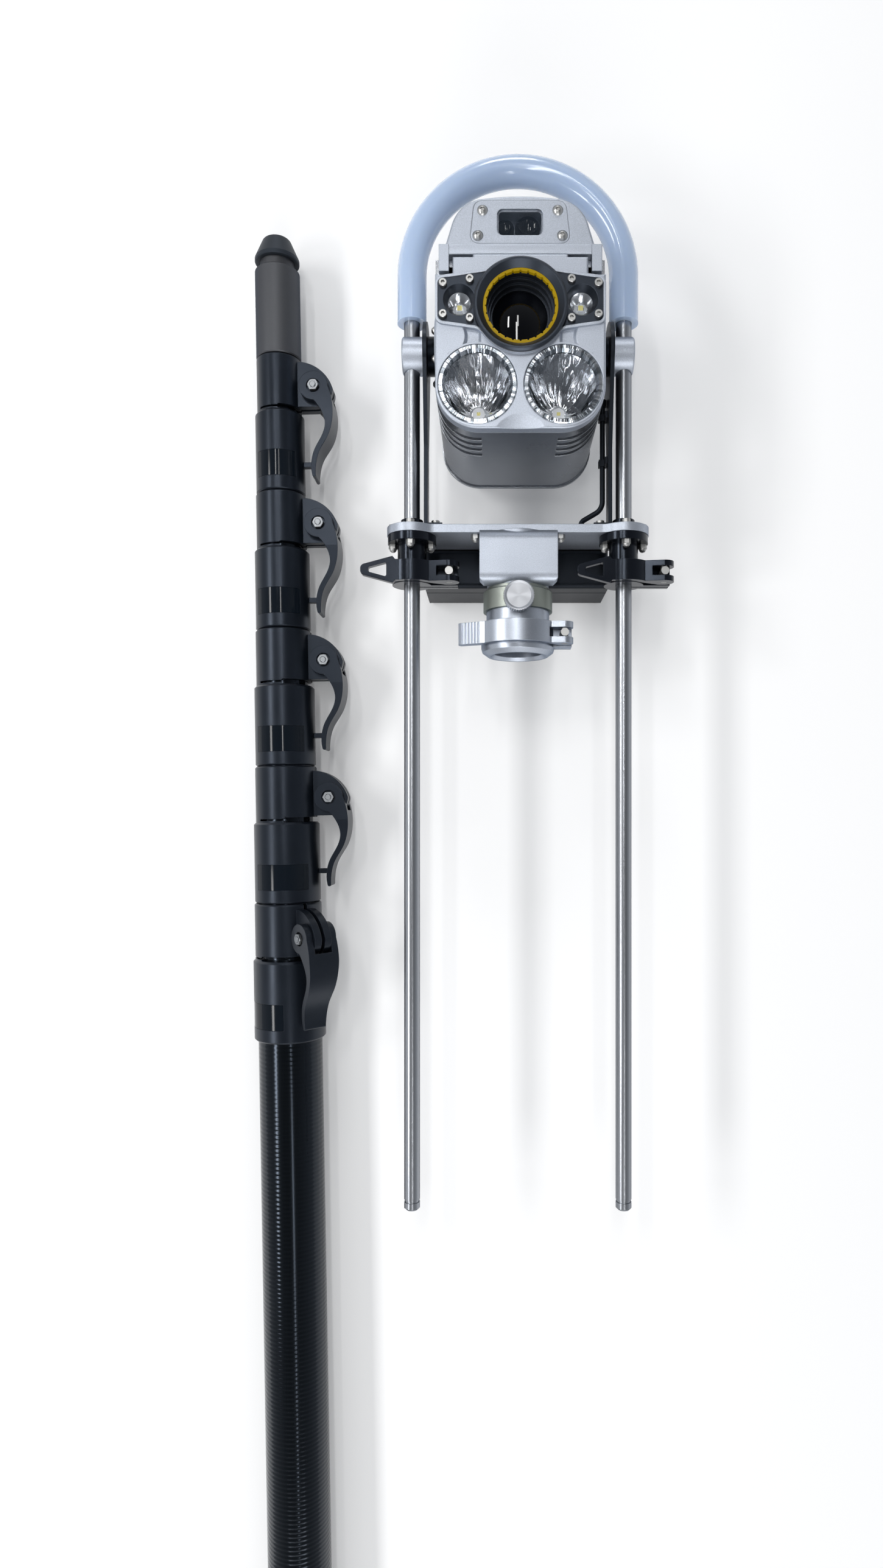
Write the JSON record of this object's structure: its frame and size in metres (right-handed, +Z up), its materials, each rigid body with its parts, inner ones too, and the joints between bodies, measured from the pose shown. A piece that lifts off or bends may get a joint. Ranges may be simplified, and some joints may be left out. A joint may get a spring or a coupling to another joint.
{
  "type": "pole inspection camera",
  "caption": "Inspection camera head with lamps, tilting in a yoke on a U-shaped leg frame with a quick release socket, beside its collapsed telescopic carbon pole with lever collars.",
  "frame": {"origin": "centre of the whole layout's box, on the floor it lies on", "axes": "+Z up from the floor, +Y along the pole towards its tip, +X from the pole to the camera"},
  "size_m": [0.3351, 1.5054, 0.166],
  "materials": {
    "silver": "bead blasted",
    "spun": "spun",
    "grey_green": "anodised",
    "adapter_grey": "anodised",
    "black_metal": "black anodised",
    "black_plastic": "moulded",
    "carbon": "wrapped carbon, gloss",
    "steel": "polished",
    "chrome": "mirror",
    "clear": "clear",
    "lens": "coated",
    "led": "phosphor",
    "seal": "smooth",
    "silicone": "translucent",
    "rubber": "matt"
  },
  "bodies": {
    "yoke": {"yoke_arms": "black_metal", "rod_guides": "silver", "cross_plate": "silver", "battery_box": "black_plastic", "adapter_block": "silver", "swivel_spigot": "grey_green", "rod_clamps": "black_metal", "yoke_fasteners": "steel", "head_cable": "rubber"},
    "camera_head": {"heat_sink_body": "silver", "front_plate": "silver", "rear_cover": "silver", "range_finder_housing": "silver", "range_finder_cover": "silver", "range_finder_lenses": "lens", "head_windows": "clear", "head_screws": "steel", "lens_bezel": "black_metal", "lens_seal_ring": "seal", "zoom_lens_barrel": "black_metal", "zoom_lens_glass": "lens", "zoom_camera_core": "black_plastic", "spot_bezels": "chrome", "lamp_reflectors": "chrome", "lamp_leds": "led", "pivot_hubs": "silver", "tilt_motor": "steel"},
    "leg_frame": {"leg_rods": "steel", "bumper_sleeve": "silicone"},
    "left_clamp_lever": {"left_rod_lever": "black_metal"},
    "right_clamp_lever": {"right_rod_lever": "black_metal"},
    "socket": {"swivel_collar": "grey_green", "pole_socket": "silver", "socket_bolt": "steel"},
    "quick_release_lever": {"socket_lever": "silver"},
    "swivel_screw": {"swivel_knob": "spun"},
    "pole_base": {"main_tube": "carbon", "collar_5": "black_plastic", "collar_5_bolt": "steel", "pole_foot": "rubber"},
    "pole_section_5": {"section_5_tube": "carbon", "collar_4": "black_plastic", "collar_4_bolt": "steel"},
    "pole_section_4": {"section_4_tube": "carbon", "collar_3": "black_plastic", "collar_3_bolt": "steel"},
    "pole_section_3": {"section_3_tube": "carbon", "collar_2": "black_plastic", "collar_2_bolt": "steel"},
    "pole_section_2": {"section_2_tube": "carbon", "collar_1": "black_plastic", "collar_1_bolt": "steel"},
    "pole_section_1": {"section_1_tube": "carbon", "pole_adapter": "adapter_grey", "pole_tip": "rubber"},
    "pole_lever_1": {"collar_1_lever": "black_plastic"},
    "pole_lever_2": {"collar_2_lever": "black_plastic"},
    "pole_lever_3": {"collar_3_lever": "black_plastic"},
    "pole_lever_4": {"collar_4_lever": "black_plastic"},
    "pole_lever_5": {"collar_5_lever": "black_plastic"}
  },
  "joints": [
    {"name": "head_tilt", "type": "hinge", "parent": "yoke", "child": "camera_head", "pos_m": [0.05005, 0.59953, 0.09], "axis": [1, 0, 0], "range_deg": [-60, 90]},
    {"name": "leg_frame_slide", "type": "slide", "parent": "yoke", "child": "leg_frame", "axis": [0, 1, 0], "range_m": [0, 0.43]},
    {"name": "left_clamp_lever_swing", "type": "hinge", "parent": "yoke", "child": "left_clamp_lever", "pos_m": [-0.00195, 0.43183, 0.1], "axis": [0, 1, 0], "range_deg": [0, 120]},
    {"name": "right_clamp_lever_swing", "type": "hinge", "parent": "yoke", "child": "right_clamp_lever", "pos_m": [0.16005, 0.43183, 0.1], "axis": [0, 1, 0], "range_deg": [0, 120]},
    {"name": "socket_swivel", "type": "hinge", "parent": "yoke", "child": "socket", "pos_m": [0.05005, 0.38478, 0.09], "axis": [0, 1, 0], "continuous": true},
    {"name": "quick_release_swing", "type": "hinge", "parent": "socket", "child": "quick_release_lever", "pos_m": [0.08455, 0.38478, 0.106], "axis": [0, 1, 0], "range_deg": [0, 110]},
    {"name": "swivel_screw_turn", "type": "hinge", "parent": "socket", "child": "swivel_screw", "pos_m": [0.05005, 0.40943, 0.1166], "axis": [0, 0, 1], "continuous": true},
    {"name": "pole_lift", "type": "slide", "parent": "yoke", "child": "pole_base", "axis": [0, 0, 1], "range_m": [0, 0.25]},
    {"name": "pole_section_5_slide", "type": "slide", "parent": "pole_base", "child": "pole_section_5", "axis": [-0.0175, 0.9998, 0], "range_m": [0, 0.73]},
    {"name": "pole_section_4_slide", "type": "slide", "parent": "pole_section_5", "child": "pole_section_4", "axis": [-0.0175, 0.9998, 0], "range_m": [0, 0.83]},
    {"name": "pole_section_3_slide", "type": "slide", "parent": "pole_section_4", "child": "pole_section_3", "axis": [-0.0175, 0.9998, 0], "range_m": [0, 0.94]},
    {"name": "pole_section_2_slide", "type": "slide", "parent": "pole_section_3", "child": "pole_section_2", "axis": [-0.0175, 0.9998, 0], "range_m": [0, 1.05]},
    {"name": "pole_section_1_slide", "type": "slide", "parent": "pole_section_2", "child": "pole_section_1", "axis": [-0.0175, 0.9998, 0], "range_m": [0, 1.15]},
    {"name": "pole_lever_1_swing", "type": "hinge", "parent": "pole_section_2", "child": "pole_lever_1", "pos_m": [-0.11635, 0.60007, 0.029], "axis": [0, 0, 1], "range_deg": [0, 120]},
    {"name": "pole_lever_2_swing", "type": "hinge", "parent": "pole_section_3", "child": "pole_lever_2", "pos_m": [-0.11213, 0.48762, 0.029], "axis": [0, 0, 1], "range_deg": [0, 120]},
    {"name": "pole_lever_3_swing", "type": "hinge", "parent": "pole_section_4", "child": "pole_lever_3", "pos_m": [-0.10792, 0.37518, 0.029], "axis": [0, 0, 1], "range_deg": [0, 120]},
    {"name": "pole_lever_4_swing", "type": "hinge", "parent": "pole_section_5", "child": "pole_lever_4", "pos_m": [-0.10371, 0.26273, 0.029], "axis": [0, 0, 1], "range_deg": [0, 120]},
    {"name": "pole_lever_5_swing", "type": "hinge", "parent": "pole_base", "child": "pole_lever_5", "pos_m": [-0.11255, 0.15006, 0.05832], "axis": [-0.743, -0.013, 0.6691], "range_deg": [0, 120]}
  ]
}
